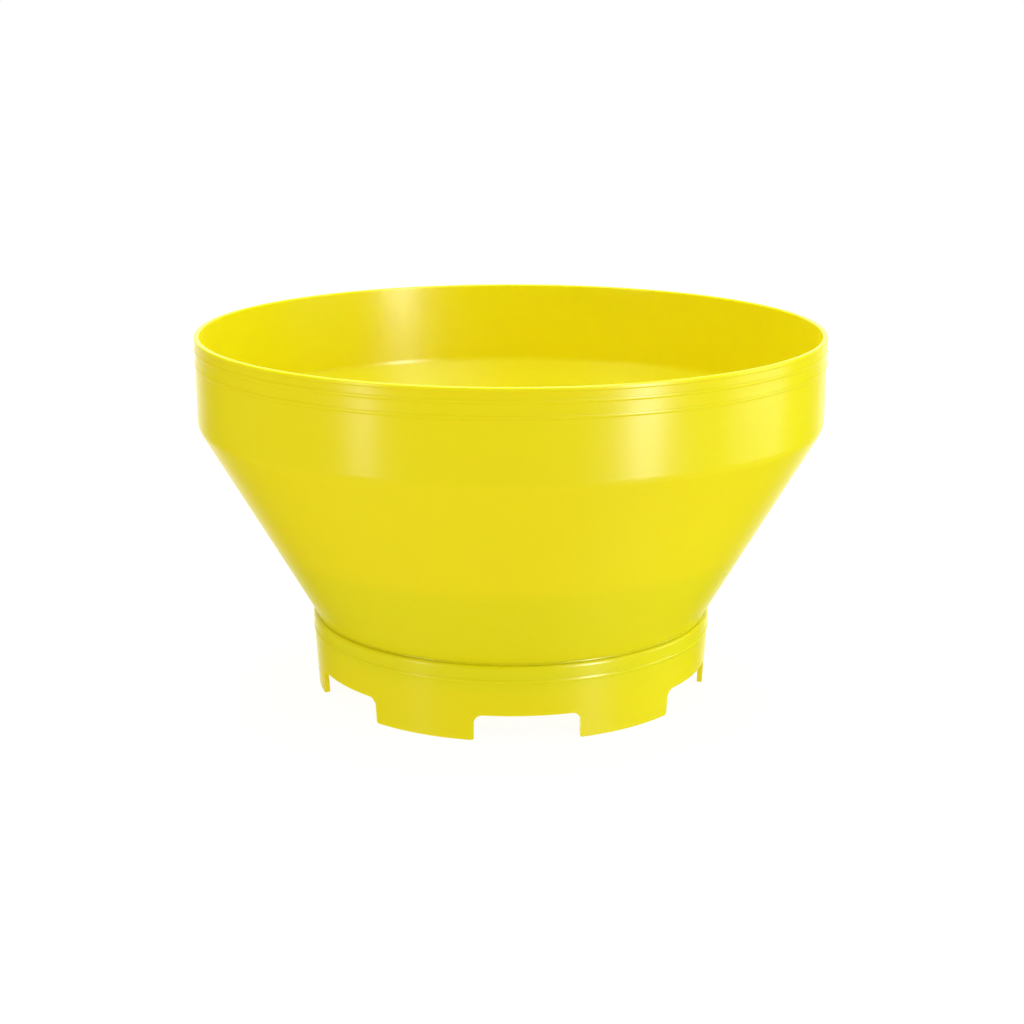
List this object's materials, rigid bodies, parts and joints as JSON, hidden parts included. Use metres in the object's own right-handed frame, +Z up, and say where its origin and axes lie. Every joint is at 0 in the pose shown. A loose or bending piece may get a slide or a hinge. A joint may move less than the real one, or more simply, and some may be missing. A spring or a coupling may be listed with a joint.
{
  "type": "wasp trap",
  "caption": "Flared yellow plastic bowl of a dome wasp trap on a castellated foot ring, with a lift-out bait tray and an inverted entrance funnel inside.",
  "frame": {"origin": "on the trap's axis, in the plane of the undersides of the feet", "axes": "+Z up along the axis of revolution, -Y towards the front, +X to the right seen from the front"},
  "size_m": [0.17, 0.17, 0.0983],
  "materials": {
    "bowl_plastic": "satin moulded polypropylene, glossy on the outside",
    "ring_plastic": "satin moulded polypropylene",
    "tray_plastic": "satin moulded polypropylene",
    "funnel_plastic": "satin moulded polypropylene"
  },
  "bodies": {
    "bowl": {"bowl_shell": "bowl_plastic", "foot_ring": "ring_plastic"},
    "tray": {"bait_tray": "tray_plastic"},
    "funnel": {"entrance_funnel": "funnel_plastic"}
  },
  "joints": [
    {"name": "tray_lift", "type": "slide", "parent": "bowl", "child": "tray", "axis": [0, 0, 1], "range_m": [0, 0.09]},
    {"name": "funnel_lift", "type": "slide", "parent": "tray", "child": "funnel", "axis": [0, 0, 1], "range_m": [0, 0.03]}
  ]
}
